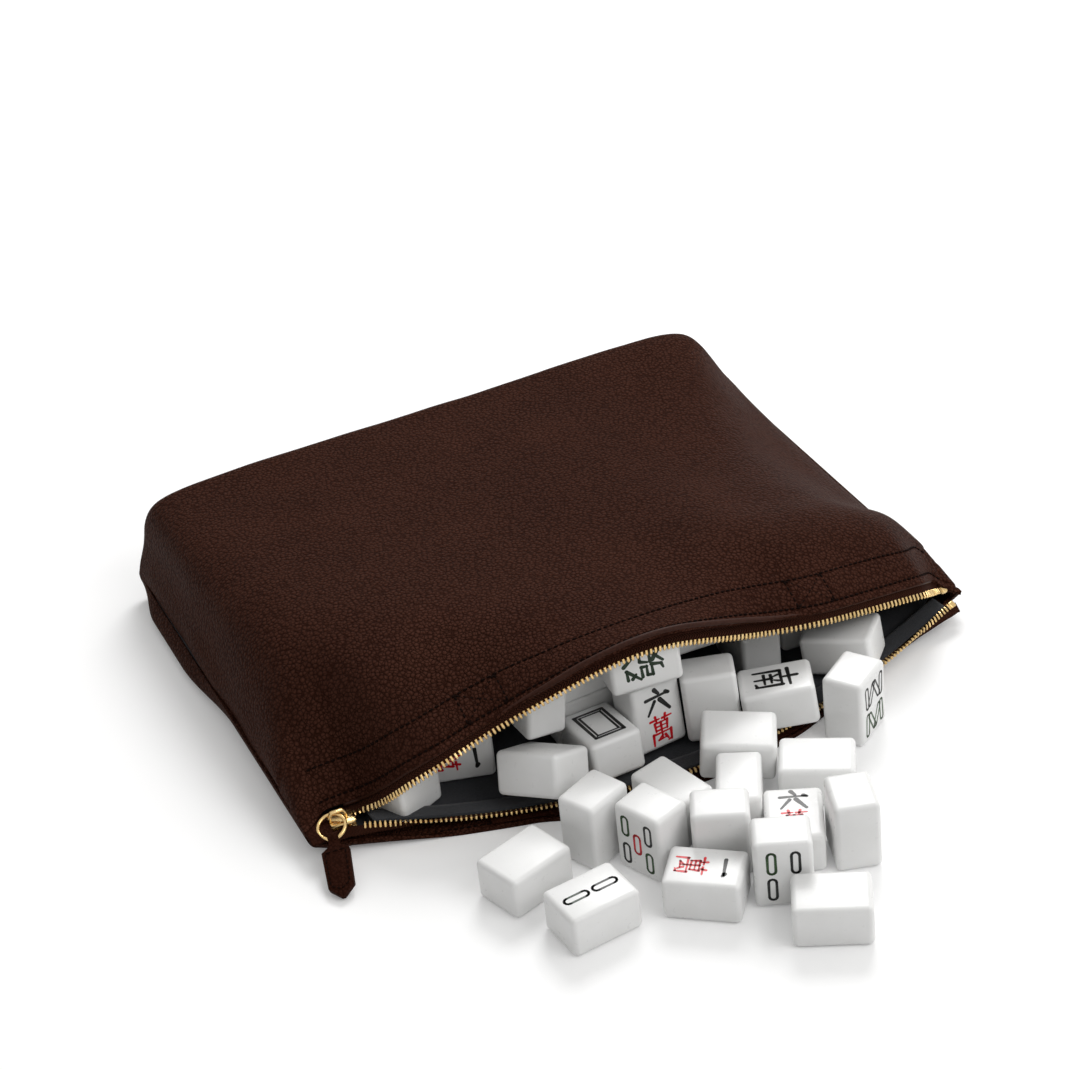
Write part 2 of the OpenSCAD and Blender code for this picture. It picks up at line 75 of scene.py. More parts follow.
class Finish:
    """One material with its nodes, and short ways to add to them."""

    def __init__(self, name, roughness, metallic=0.0, specular=0.5):
        self.material = bpy.data.materials.new(name)
        self.material.use_nodes = True
        self.nodes = self.material.node_tree.nodes
        self.links = self.material.node_tree.links
        self.surface = self.nodes["Principled BSDF"]
        self.surface.inputs["Roughness"].default_value = roughness
        self.surface.inputs["Metallic"].default_value = metallic
        self.surface.inputs["Specular IOR Level"].default_value = specular
        self.coords = self.nodes.new("ShaderNodeTexCoord")

    def add(self, kind, **values):
        node = self.nodes.new("ShaderNode" + kind)
        for key, value in values.items():
            if key in node.bl_rna.properties:
                setattr(node, key, value)
            else:
                node.inputs[key.replace("_", " ")].default_value = value
        return node

    def join(self, source, target):
        self.links.new(source, target)

    def noise(self, place, scale, detail=3.0, roughness=0.5):
        node = self.add("TexNoise", Scale=scale, Detail=detail, Roughness=roughness)
        self.join(place, node.inputs["Vector"])
        return node.outputs["Fac"]

    def cells(self, place, scale, feature="F1"):
        node = self.add("TexVoronoi", feature=feature, Scale=scale)
        self.join(place, node.inputs["Vector"])
        return node.outputs["Distance"]

    def maths(self, what, a, b=None):
        node = self.add("Math", operation=what)
        for slot, value in zip(node.inputs, (a, b)):
            if value is None:
                continue
            if isinstance(value, (int, float)):
                slot.default_value = value
            else:
                self.join(value, slot)
        return node.outputs[0]

    def axes(self, place):
        node = self.add("SeparateXYZ")
        self.join(place, node.inputs[0])
        return node.outputs

    def waves(self, value, period):
        return self.maths("SINE", self.maths("MULTIPLY", value, 2 * math.pi / period))

    def blend(self, a, share_a, b, share_b):
        return self.maths("ADD", self.maths("MULTIPLY", a, share_a), self.maths("MULTIPLY", b, share_b))

    def ramp(self, value, stops):
        node = self.add("ValToRGB")
        marks = node.color_ramp.elements
        while len(marks) < len(stops):
            marks.new(0.5)
        for mark, (place, colour) in zip(marks, stops):
            mark.position = place
            mark.color = (*colour, 1)
        self.join(value, node.inputs["Fac"])
        return node.outputs["Color"]

    def remap(self, value, low, high, to_low, to_high):
        node = self.add("MapRange")
        for name, number in (("From Min", low), ("From Max", high), ("To Min", to_low), ("To Max", to_high)):
            node.inputs[name].default_value = number
        self.join(value, node.inputs["Value"])
        return node.outputs["Result"]

    def bend(self, height, distance, strength=1.0):
        node = self.add("Bump", Strength=strength, Distance=distance)
        self.join(height, node.inputs["Height"])
        return node.outputs["Normal"]

    def done(self, colour=None, normal=None, roughness=None):
        for name, value in (("Base Color", colour), ("Normal", normal), ("Roughness", roughness)):
            if value is not None:
                self.join(value, self.surface.inputs[name])
        return self.material


def pebbled_leather(name, dark, light, grain=1.7, depth=0.8):
    """Full-grain leather: rounded pebbles with creases between them, a few pores and a soft sheen, with painted shade
    in the creases and pebble tops painted lighter.
    """
    f = Finish(name, 0.62, specular=0.015)
    place = f.coords.outputs["Object"]
    wander = f.add("TexNoise", Scale=260.0, Detail=1.0)
    f.join(place, wander.inputs["Vector"])
    shift = f.add("VectorMath", operation="SCALE", Scale=0.0012)
    f.join(wander.outputs["Color"], shift.inputs[0])
    moved = f.add("VectorMath", operation="ADD")
    f.join(place, moved.inputs[0])
    f.join(shift.outputs[0], moved.inputs[1])
    away = f.cells(moved.outputs[0], 1000 / grain)
    dome = f.remap(f.maths("MULTIPLY", away, away), 0.0, 0.5, 1.0, 0.0)
    crease = f.remap(f.cells(moved.outputs[0], 1000 / grain, "DISTANCE_TO_EDGE"), 0.0, 0.16, 0.0, 1.0)
    small = f.remap(f.cells(moved.outputs[0], 2600 / grain), 0.0, 0.8, 1.0, 0.0)
    height = f.blend(dome, 0.6, crease, 0.3)
    height = f.maths("ADD", height, f.maths("MULTIPLY", small, 0.16))
    clouds = f.noise(place, 24.0, 4.0, 0.6)
    # The colour follows the pebbles' height as well as random clouds of tone: painted shade darkens the creases and the
    # pebble tops are painted lighter.
    colour = f.ramp(f.blend(clouds, 0.45, height, 0.6), ((0.25, dark), (0.85, light)))
    rough = f.remap(f.blend(clouds, 0.5, crease, -0.25), -0.1, 0.5, 0.5, 0.66)
    return f.done(colour, f.bend(height, depth * MM, 1.0), rough)


def lining_cloth():
    """Charcoal cotton with a fine plain weave and a little lint."""
    f = Finish("charcoal lining cloth", 0.85, specular=0.2)
    axes = f.axes(f.coords.outputs["UV"])
    weave = f.maths("MULTIPLY", f.waves(axes["X"], 0.42), f.waves(axes["Y"], 0.42))
    lint = f.noise(f.coords.outputs["Object"], 900.0, 3.0)
    height = f.maths("ADD", f.maths("MULTIPLY", weave, 0.5), lint)
    colour = f.ramp(f.blend(lint, 0.6, weave, 0.12),
                    ((0.15, (0.02, 0.021, 0.025)), (0.65, (0.043, 0.046, 0.053))))
    f.surface.inputs["Sheen Weight"].default_value = 0.15
    return f.done(colour, f.bend(height, 0.12 * MM, 0.7))


def zip_tape_cloth():
    """Brown woven zip tape: a herringbone whose ribs turn at the middle of each stripe."""
    f = Finish("brown zip tape", 0.85, specular=0.05)
    axes = f.axes(f.coords.outputs["UV"])
    ribs = f.waves(f.maths("ADD", axes["X"], f.maths("PINGPONG", axes["Y"], 1.5)), 1.25)
    threads = f.waves(axes["Y"], 0.32)
    fuzz = f.noise(f.coords.outputs["Object"], 1500.0, 3.0)
    height = f.blend(ribs, 0.5, threads, 0.12)
    height = f.maths("ADD", height, f.maths("MULTIPLY", fuzz, 0.3))
    colour = f.ramp(f.remap(height, -0.5, 0.9, 0.0, 1.0),
                    ((0.15, (0.010, 0.0031, 0.0016)), (0.85, (0.066, 0.022, 0.0125))))
    return f.done(colour, f.bend(height, 0.3 * MM, 0.8))


def facing_leather():
    """The smooth strip behind the free edge: plain where it shows, with painted shade that turns it near black in the
    depth of the slot.
    """
    f = Finish("brown facing leather", 0.6, specular=0.05)
    # Painted shade: the colour darkens to near black from 4.2 to 6.6 mm into the strip, deep in the slot under the
    # leather edge, with a little random tone on top.
    deep = f.remap(f.axes(f.coords.outputs["UV"])["Y"], 4.2, 6.6, 0.0, 1.0)
    fine = f.noise(f.coords.outputs["Object"], 1300.0, 3.0)
    painted_shade_and_tone = f.maths("ADD", deep, f.maths("MULTIPLY", f.maths("ADD", fine, -0.5), 0.4))
    colour = f.ramp(painted_shade_and_tone, ((0.0, (0.040, 0.0135, 0.0078)), (1.0, (0.003, 0.0012, 0.0008))))
    return f.done(colour, f.bend(fine, 0.12 * MM, 0.6))


def edge_paint():
    """Satin brown paint that seals the cut edges of the leather."""
    f = Finish("brown edge paint", 0.5, specular=0.1)
    uneven = f.noise(f.coords.outputs["Object"], 700.0, 3.0)
    colour = f.ramp(uneven, ((0.3, (0.026, 0.0085, 0.0048)), (0.7, (0.044, 0.015, 0.0088))))
    return f.done(colour, f.bend(uneven, 0.1 * MM, 0.5))


def gold_metal():
    """Polished gold-coloured brass with faint rubbing marks."""
    f = Finish("polished gold brass", 0.22, metallic=1.0)
    place = f.coords.outputs["Object"]
    smear = f.noise(place, 300.0, 4.0, 0.6)
    stretched = f.add("Mapping")
    stretched.inputs["Scale"].default_value = (400.0, 2600.0, 1800.0)
    f.join(place, stretched.inputs["Vector"])
    rub = f.noise(stretched.outputs["Vector"], 1.0, 2.0)
    colour = f.ramp(smear, ((0.3, (0.70, 0.47, 0.19)), (0.7, (0.86, 0.63, 0.31))))
    rough = f.remap(f.maths("ADD", smear, rub), 0.6, 1.4, 0.16, 0.34)
    return f.done(colour, f.bend(rub, 0.02 * MM, 0.35), rough)


def tile_resin():
    """White tile resin: glossy, with faint ripples from polishing."""
    f = Finish("white tile resin", 0.3, specular=0.4)
    place = f.coords.outputs["Object"]
    clouds = f.noise(place, 60.0, 3.0)
    colour = f.ramp(clouds, ((0.3, (0.80, 0.80, 0.79)), (0.7, (0.85, 0.85, 0.845))))
    rough = f.remap(f.noise(place, 420.0, 3.0), 0.3, 0.7, 0.27, 0.36)
    return f.done(colour, f.bend(f.noise(place, 130.0, 1.0), 0.06 * MM, 0.35), rough)


def tile_paint(name, low, high):
    """Paint in the cut marks, slightly uneven where the brush has passed."""
    f = Finish(name, 0.35, specular=0.45)
    place = f.coords.outputs["Object"]
    uneven = f.noise(place, 1400.0, 3.0)
    return f.done(f.ramp(uneven, ((0.3, low), (0.7, high))), f.bend(uneven, 0.05 * MM, 0.5))


def sewing_thread():
    """Dark brown sewing thread with its plies twisted together."""
    f = Finish("dark brown thread", 0.8, specular=0.04)
    place = f.coords.outputs["Object"]
    axes = f.axes(place)
    twist = f.waves(f.maths("ADD", f.maths("ADD", axes["X"], axes["Y"]), axes["Z"]), 0.7 * MM)
    colour = f.ramp(f.maths("ADD", f.maths("MULTIPLY", twist, 0.25), f.noise(place, 1100.0)),
                    ((0.2, (0.003, 0.0011, 0.0007)), (0.8, (0.011, 0.004, 0.0025))))
    return f.done(colour, f.bend(twist, 0.1 * MM, 0.6))


LEATHER = pebbled_leather("brown pebbled leather", (0.021, 0.0062, 0.0033), (0.056, 0.0205, 0.0128))
TAB_LEATHER = pebbled_leather("brown tab leather", (0.017, 0.0048, 0.0025), (0.034, 0.0105, 0.006), 1.3, 0.25)
FACING = facing_leather()
EDGE_PAINT = edge_paint()
LINING = lining_cloth()
TAPE = zip_tape_cloth()
BRASS = gold_metal()
RESIN = tile_resin()
THREAD = sewing_thread()
PAINTS = {
    "black": tile_paint("black paint", (0.006, 0.006, 0.006), (0.022, 0.022, 0.022)),
    "green": tile_paint("dark green paint", (0.012, 0.045, 0.008), (0.03, 0.085, 0.018)),
    "deep": tile_paint("deep green paint", (0.004, 0.016, 0.005), (0.010, 0.032, 0.010)),
    "red": tile_paint("red paint", (0.55, 0.003, 0.010), (0.72, 0.008, 0.02)),
}


# ---- Pieces

def make_piece(name, shape, material, body, replaced=(), smooth=True):
    """Turns a bmesh into a finished piece that rides on its body."""
    mesh = bpy.data.meshes.new(name)
    shape.to_mesh(mesh)
    shape.free()
    mesh.materials.append(material)
    mesh.polygons.foreach_set("use_smooth", [smooth] * len(mesh.polygons))
    piece = bpy.data.objects.new(name, mesh)
    bpy.context.scene.collection.objects.link(piece)
    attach(piece, body)
    if replaced:
        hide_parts(*replaced)
    return piece


def add_part(shape, part):
    """Adds one bmesh to another and frees it."""
    mesh = bpy.data.meshes.new("part")
    part.to_mesh(mesh)
    part.free()
    shape.from_mesh(mesh)
    bpy.data.meshes.remove(mesh)


def thickened(piece, thickness, rim=0.0):
    """Gives a sheet its thickness behind its outer face, and rounds its rim."""
    wall = piece.modifiers.new("thickness", "SOLIDIFY")
    wall.thickness = thickness * MM
    wall.offset = -1
    wall.use_quality_normals = True
    if rim:
        soft = piece.modifiers.new("rim", "BEVEL")
        soft.width = rim * MM
        soft.segments = 3
        soft.limit_method = "ANGLE"
        soft.angle_limit = math.radians(60)


def stretched_grid(columns, rows, place, size):
    """A grid whose points are put in place by a rule, with a UV map in millimetres."""
    shape = bmesh.new()
    bmesh.ops.create_grid(shape, x_segments=columns, y_segments=rows, size=0.5)
    chart = shape.loops.layers.uv.new("weave")
    for face in shape.faces:
        for loop in face.loops:
            loop[chart].uv = ((loop.vert.co.x + 0.5) * size[0], (loop.vert.co.y + 0.5) * size[1])
    for vert in shape.verts:
        vert.co = Vector(place(vert.co.x + 0.5, vert.co.y + 0.5)) * MM
    shape.normal_update()
    return shape


# ---- The form of the case, in millimetres. It starts from part.scad's, and differs where a comment says so

CASE_W, CASE_D, CASE_H, SEAM_H = 320, 224, 56, 12
HALF_W, HALF_D = CASE_W / 2, CASE_D / 2
LEATHER_T, LINING_T, LAYER_GAP = 2, 0.8, 0.35
BOTTOM_ROUND, RIGHT_LEAN, LEFT_LEAN, LEFT_BULGE, RIM_R = 9, 24, 11, 7, 8
ZIP_H, LIP_RISE, LIP_REACH, LIP_PEAK, LIP_PUSH = 9.5, 48, 25, -6, 10
SAG_REACH, CROWN_H, CHAIN_GAP, TAPE_T, GRIP_L, BOX_L = 39.5, 68, 6.4, 0.7, 136, 18
ZIP_X0, ZIP_X1, CHAIN_X0 = -143, 154, -136.5
# Only in the scene: how far the right wall is drawn in and sunk, and the base tucked under at the front right
RIGHT_DRAWN, RIGHT_SUNK, TUCK = 27, 8, 9
MOUTH_Y = -111.5
SKIN_GAP = LEATHER_T + LAYER_GAP
SIGHT = 0.71


def mix(a, b, t):
    return a + (b - a) * t


def clamp(t):
    return max(0.0, min(1.0, t))


def ease(t):
    s = clamp(t)
    return s * s * (3 - 2 * s)


def turned(degrees):
    a = math.radians(degrees)
    return math.cos(a), math.sin(a)


def lift(x):
    if x < LIP_PEAK:
        return (0.5 * (1 + math.cos(math.pi * clamp((LIP_PEAK - x) / (LIP_PEAK - CHAIN_X0 - 4))))) ** 1.15
    s = clamp((x - LIP_PEAK) / (ZIP_X1 - LIP_PEAK))
    k = 2.5
    return 1 / (1 + k * k * s * s) - s * s / (1 + k * k)


def sag(x):
    middle, half = (CHAIN_X0 - 6 + ZIP_X1) / 2, (ZIP_X1 - CHAIN_X0 + 6) / 2
    return 1 - clamp(abs(x - middle) / half) ** 1.6


def free(x):
    return ease((GRIP_L / 2 + 2 - abs(x)) / 24)


def reach(x):
    return ((LIP_REACH + CHAIN_GAP / 2) * lift(x) ** 0.38 * ease((ZIP_X1 - x) / 22)
            + LIP_PUSH * ease((x - CHAIN_X0 - 4.5) / 18) * (1 - ease((x + 0.68 * HALF_W) / 34))
            + LIP_PUSH * 0.6 * ease((x - 0.3 * HALF_W) / 34) * ease((ZIP_X1 - x) / 24))


# How far the lip stands above part.scad's, as (x, height) from one end of the zip to the other.
# It fades out over FADE_L from FADE_X, so that the slider has its travel clear.
FADE_X, FADE_L = -132, 18
LIP_EXTRA = ((-143, 0), (-136, 0.6), (-120, 4.8), (-96, 8.8), (-70, 8.0), (-45, 4.9), (-20, 3.5), (12, 2), (34, 2.1),
             (56, 2.9), (77, 3.7), (101, 4.8), (126, 5.4), (143, 4.8), (154, 3.6))


def measured_extra(x):
    for (x0, z0), (x1, z1) in zip(LIP_EXTRA, LIP_EXTRA[1:]):
        if x <= x1:
            return mix(z0, z1, clamp((x - x0) / (x1 - x0)))
    return LIP_EXTRA[-1][1]


EXTRA_STEPS = [sum(measured_extra(x + step) for step in (-10, -5, 0, 5, 10)) / 5 * ease((x - FADE_X) / FADE_L)
               for x in range(-180, 190, 2)]


def lip_extra(x):
    place = (x + 180) / 2
    i = int(place)
    return mix(EXTRA_STEPS[i], EXTRA_STEPS[i + 1], place - i)


def upper_line(x):
    return Vector((x, MOUTH_Y + CHAIN_GAP / 2 - reach(x),
                   ZIP_H + (LIP_RISE - SIGHT * (LIP_REACH + CHAIN_GAP / 2)) * lift(x) + SIGHT * reach(x)
                   + lip_extra(x)))


def lower_line(x):
    return Vector((x, MOUTH_Y - CHAIN_GAP / 2 - SAG_REACH * sag(x), ZIP_H - 3.9 * ease(sag(x) * 1.5)))


def upper_dir(x):
    c, s = turned(mix(90, 12, max(0.0, lift(x)) ** 0.22))
    return Vector((0, s, c))


def lower_dir(x):
    c, s = turned(mix(-58, 84, ease(sag(x) * 2.2)))
    return Vector((0, s, -c))


def slope(x, upper):
    line = upper_line if upper else lower_line
    return (line(x + 0.2) - line(x - 0.2)).normalized()


def tape_show(x):
    return 4.6 + 5.4 * lift(x) * ease((86 - abs(x)) / 50)


def lip_edge(x, off):
    d, p = upper_dir(x), upper_line(x)
    return p + d * tape_show(x) + Vector((0, -d.z, d.y)) * (1.3 + LEATHER_T + 4.5 * free(x) * lift(x) - off)


def front_pt(s, v, fold=0.0, drop=0.0, off=0.0):
    """A point of the front panel: s runs from its left seam to its right one, and v from the lip to the fold."""
    p = mix(2.3, 12, ease(v / 0.9))
    c, f = turned(180 - 180 * s)
    f = max(f, 0.0)
    k = (abs(c) ** p + f ** p) ** (1 / p)
    c, f = c / k, f / k
    a, e = HALF_W - off, BOTTOM_ROUND - off
    h = mix(CROWN_H, CASE_H, ease(v)) - off - SEAM_H
    drawn = math.sin(math.pi * clamp((v - 0.12) / 0.86)) if c > 0 else 0
    x = a * c - f * c * (RIGHT_LEAN + RIGHT_DRAWN * drawn if c > 0 else LEFT_LEAN) * h / (CASE_H - SEAM_H) * ease(v * 3)
    h -= RIGHT_SUNK * drawn * ease((c - 0.35) / 0.6)
    fc, fs = turned(fold)
    g = (1 - e / h * (1 - fc)) * (1 - drop)
    lip = lip_edge(x, off)
    corner = ease((a - abs(x)) / 14)
    w = 1 - (1 - clamp(v / 0.36)) ** 3
    return Vector((x, mix(mix(-HALF_D, lip.y, corner), HALF_D - BOTTOM_ROUND, v) + e * fs,
                   mix(mix(SEAM_H, lip.z, corner), SEAM_H + LAYER_GAP / 2 + h * f * g, w)))


def back_edge(x):
    q = max(ZIP_X0, min(ZIP_X1, x))
    front = mix(5, 3, ease(sag(q) * 2)) + 4 * free(q) * ease((-28 - q) / 18)
    return mix(-HALF_D, lower_line(q).y - front, ease((HALF_W - abs(x)) / 16))


def back_pt(t, u, off):
    """A point of the back panel: t runs across it from rim to rim, and u from its front edge to the bottom face."""
    n, a, r = 0.12, HALF_W - off, RIM_R - off
    if t < n:
        c, s = turned(90 * t / n)
        x, z0 = -a + r * (1 - c), 1 - s
    elif t > 1 - n:
        c, s = turned(90 * (1 - t) / n)
        x, z0 = a - r * (1 - c), 1 - s
    else:
        x, z0 = mix(-a + r, a - r, (t - n) / (1 - 2 * n)), 0.0
    m, n = 0.16, 0.07
    y0, y1 = back_edge(x), HALF_D - off
    curl = 1 - ease(sag(x) * 2.2)
    kc, ks = turned(90 * min(1, u / n))
    up = 0.0
    if u > 1 - m:
        c, s = turned(90 * (u - 1 + m) / m)
        y, up = y1 - r * (1 - s), 1 - c
    elif u < n:
        y = y0 + off * curl + 7 * (1 - kc)
    else:
        y = mix(y0 + off * curl + 7, y1 - r, (u - n) / (1 - m - n))
    z = max(z0, up, curl * 0.42 * (1 - ks))
    out = ((LEFT_BULGE if x < 0 else 0) * ease((y + 20) / 60) * ease((HALF_D - y) / 30)
           * (1 - z * z) * ease(-x / HALF_W * 6 - 4.4))
    tucked = TUCK * (1 - z) * ease((x - 50) / 60) * (1 - ease((y - MOUTH_Y) / 40))
    return Vector((x - out, y + tucked, mix(off, SEAM_H - LAYER_GAP / 2, z)))


# ---- Leather

PANEL_COLUMNS, PANEL_ROWS = 300, 150
HEM_NEAR, HEM_FAR = 4.0, 18.5
V_END, FOLD_END = 0.82, 0.91


def front_place(s, t):
    """Rows lie close together at the lip, then run back, over the fold and down the bottom face."""
    if t < V_END:
        return front_pt(s, (t / V_END) ** 1.5)
    if t < FOLD_END:
        return front_pt(s, 1, 90 * (t - V_END) / (FOLD_END - V_END))
    return front_pt(s, 1, 90, (t - FOLD_END) / (1 - FOLD_END))


def soft_noise(p, size, seed):
    return noise.noise(Vector((p.x / size + seed, p.y / size - seed, p.z / size + 2 * seed)))


class Hem:
    """Places along the front panel, by distance from its edge, so that seams and stitches can follow it."""

    def __init__(self):
        self.columns = [[front_pt(i / 240, (j / 40) ** 1.5 * 0.16) for j in range(41)] for i in range(241)]
        self.lines = {}

    def line(self, distance):
        if distance not in self.lines:
            points = []
            for column in self.columns:
                run, point = 0.0, column[-1]
                for a, b in zip(column, column[1:]):
                    step = (b - a).length
                    if run + step >= distance:
                        point = a.lerp(b, (distance - run) / step)
                        break
                    run += step
                points.append(point)
            self.lines[distance] = points
        return self.lines[distance]

    def at(self, x, distance):
        """The point over x at that distance from the edge, and the surface's direction outwards there."""
        points = self.line(distance)
        for i in range(len(points) - 1):
            if points[i].x <= x <= points[i + 1].x:
                break
        a, b = points[i], points[i + 1]
        t = clamp((x - a.x) / max(1e-6, b.x - a.x))
        point = a.lerp(b, t)
        deeper = self.line(round(distance + 1, 3))[i].lerp(self.line(round(distance + 1, 3))[i + 1], t)
        return point, (b - a).cross(deeper - point).normalized()


hem = Hem()


def seam_dip(distance, sunk=0.6, width=1.0):
    return -sunk * math.exp(-(distance / width) ** 2)


def leather_relief(p, edge_distance):
    """How far the leather stands from its plain form: thread channels, the folded hem, and soft hollows."""
    rise = seam_dip(edge_distance - HEM_NEAR) + seam_dip(edge_distance - HEM_FAR)
    rise += 0.35 * (1 - ease((edge_distance - HEM_FAR) / 2.5))
    if 15 < abs(p.x) < 100 and edge_distance < 22:
        for side in (GRIP_L / 2, GRIP_L / 2 + BOX_L):
            if HEM_NEAR - 1 < edge_distance < HEM_FAR + 1:
                rise += seam_dip(abs(p.x) - side, 0.3)
    loose = ease((edge_distance - 10) / 40)
    rise += loose * (0.75 * soft_noise(p, 58, 3.1) + 0.3 * soft_noise(p, 23, 7.7))
    if edge_distance > 30:
        from_corner = ease((HALF_D - abs(p.y) - 3) / 18) + ease((HALF_W - abs(p.x) - 6) / 18)
        rise += clamp(from_corner) * (seam_dip(p.z - SEAM_H, 1.1, 2.2)
                                      + 0.8 * math.exp(-((p.z - SEAM_H - 8) / 5) ** 2))
    wall = ease((-p.x - 128) / 24) * ease((52 - p.z) / 20)
    rise += wall * 1.5 * soft_noise(Vector((p.x, p.y * 0.7, p.z * 1.6)), 26, 5.3)
    return rise


def front_leather():
    shape = stretched_grid(PANEL_COLUMNS, PANEL_ROWS, front_place, (CASE_W, CASE_D))
    shape.verts.ensure_lookup_table()
    width = PANEL_COLUMNS + 1
    moves = []
    for i in range(width):
        run, last = 0.0, None
        for j in range(PANEL_ROWS + 1):
            vert = shape.verts[j * width + i]
            here = vert.co / MM
            run += (here - last).length if last else 0.0
            last = here
            moves.append((vert, vert.normal * leather_relief(here, run) * MM))
    for vert, move in moves:
        vert.co += move
    for vert in shape.verts:
        vert.co.z = max(vert.co.z, (SEAM_H - 1) * MM) if vert.co.y > 0 else vert.co.z
    shape.normal_update()
    piece = make_piece("front_leather", shape, LEATHER, "case", ["front_panel"])
    thickened(piece, LEATHER_T, 0.55)


def back_leather():
    shape = stretched_grid(220, 130, lambda s, t: back_pt(s, t ** 1.15, 0), (CASE_W, CASE_D))
    bmesh.ops.reverse_faces(shape, faces=shape.faces)
    shape.normal_update()
    piece = make_piece("back_leather", shape, LEATHER, "case", ["back_panel"])
    thickened(piece, LEATHER_T, 0.55)


front_leather()
back_leather()


# ---- Lining and straps inside the mouth

def linings():
    def upper(s, t):
        v = 0.03 + 0.97 * t
        return front_pt(mix(0.02, 0.98, s), v, off=SKIN_GAP)

    shape = stretched_grid(120, 60, upper, (CASE_W, CASE_D))
    piece = make_piece("front_lining_cloth", shape, LINING, "case", ["front_lining"])
    thickened(piece, LINING_T)

    def lower(s, t):
        return back_pt(s, mix(0.075, 1, t), SKIN_GAP + LINING_T)

    shape = stretched_grid(120, 70, lower, (CASE_W, CASE_D))
    piece = make_piece("back_lining_cloth", shape, LINING, "case", ["back_lining"])
    thickened(piece, LINING_T)


def lining_fold():
    """The lining's turned edge, sewn over the lower tape close behind its teeth."""
    def place(s, t):
        x = mix(-131, 149, s)
        return lower_line(x) + Vector((0, mix(1.4, 12, t), 0.9 - 1.5 * t))

    shape = stretched_grid(200, 6, place, (284, 10))
    piece = make_piece("lining_fold_cloth", shape, LINING, "case")
    thickened(piece, 0.5)


def straps():
    half = GRIP_L / 2 + BOX_L

    def upper(s, t):
        point, out = hem.at(mix(-half, half, s), round(mix(1.5, 15.5, t), 3))
        return point - out * (SKIN_GAP + 0.45)

    shape = stretched_grid(80, 4, upper, (2 * half, 15))
    piece = make_piece("front_strap_leather", shape, TAB_LEATHER, "case", ["front_grip_strap"])
    thickened(piece, 1)

    def lower(s, t):
        x = mix(-half, half, s)
        return Vector((x, back_edge(x) + mix(1, 14, t), SKIN_GAP + 1))

    shape = stretched_grid(60, 4, lower, (2 * half, 13))
    piece = make_piece("back_strap_leather", shape, TAB_LEATHER, "case", ["back_grip_strap"])
    thickened(piece, 1)


linings()
lining_fold()
straps()


# ---- Zip tapes

def tape_point(x, s, upper):
    p = upper_line(x) if upper else lower_line(x)
    d = upper_dir(x) if upper else lower_dir(x)
    if upper:
        length = tape_show(x) + mix(1.8, -3.2, max(0.0, lift(x)) ** 1.7)
    else:
        deep = ease(sag(x) * 2.2)
        length = min(mix(5.2, 8.4, deep), (p.z - mix(7, 3.7, deep)) / max(0.1, -d.z))
    back = Vector((0, 1, 0.25)) * 5 * free(x) * s * s if upper else Vector((0, 0, 0))
    return p + d * length * s + back


def zip_tapes():
    x0, x1 = ZIP_X0 - 5, ZIP_X1 + 1
    for name, upper in (("front_zip_tape", True), ("back_zip_tape", False)):
        shape = stretched_grid(300, 5, lambda s, t: tape_point(mix(x0, x1, s), t, upper), (x1 - x0, 9))
        piece = make_piece(name.replace("zip", "woven"), shape, TAPE, "case", [name])
        wall = piece.modifiers.new("thickness", "SOLIDIFY")
        wall.thickness = TAPE_T * MM
        wall.offset = 0


def zip_facing():
    """The leather strip that the tape is sewn to, seen in the slot behind the free edge."""
    def place(s, t):
        x = mix(-GRIP_L / 2 - 6, GRIP_L / 2 + 6, s)
        foot = tape_point(x, 0.52, True)
        top = lip_edge(x, LEATHER_T) + Vector((0, mix(2.5, 9, free(x)), mix(2.0, -3.5, free(x))))
        belly = Vector((0, -0.8, 0.6)) * math.sin(math.pi * clamp(t))
        return foot.lerp(top, t) + belly

    shape = stretched_grid(120, 8, place, (GRIP_L, 12))
    piece = make_piece("zip_facing", shape, FACING, "case")
    thickened(piece, 0.9)


def lip_bead():
    """The rounded and painted edge of the front panel along the mouth."""
    def place(s, t):
        x = mix(-139, 145, s)
        d = upper_dir(x)
        c, f = turned(360 * t)
        return (lip_edge(x, LEATHER_T / 2) + d * (0.45 + (0.95 + 0.3 * free(x)) * c)
                + Vector((0, -d.z, d.y)) * (1.0 + 0.3 * free(x)) * f)

    shape = stretched_grid(260, 10, place, (290, 7))
    bmesh.ops.remove_doubles(shape, verts=shape.verts, dist=1e-6)
    bmesh.ops.holes_fill(shape, edges=[e for e in shape.edges if e.is_boundary])
    bmesh.ops.recalc_face_normals(shape, faces=shape.faces)
    make_piece("lip_bead", shape, EDGE_PAINT, "case")


def end_patch():
    """The leather patch over the tapes' ends, at the closed end of the zip."""
    def place(s, t):
        swell = 1 - (2 * t - 1) ** 2
        return Vector((mix(-159.5, -148.6, s), MOUTH_Y + mix(-8.5, 10, t), 10.4 + 1.5 * swell))

    piece = make_piece("end_patch", stretched_grid(10, 12, place, (11, 18)), TAB_LEATHER, "case")
    thickened(piece, 1.2, 0.4)


zip_tapes()
zip_facing()
lip_bead()
end_patch()


# ---- Metal

def softened(node, name, width, material, body, segments=2, angle=25):
    """A copy of a CAD part with its sharp edges rounded."""
    shape = bmesh.new()
    shape.from_mesh(frame["nodes"][node].data)
    bmesh.ops.remove_doubles(shape, verts=shape.verts, dist=1e-6)
    bmesh.ops.dissolve_limit(shape, angle_limit=math.radians(1), verts=shape.verts, edges=shape.edges)
    sharp = [e for e in shape.edges if e.is_manifold and e.calc_face_angle(0) > math.radians(angle)]
    bmesh.ops.bevel(shape, geom=sharp, offset=width * MM, affect="EDGES", segments=segments,
                    profile=0.5, material=-1, clamp_overlap=True)
    return make_piece(name, shape, material, body, [node])


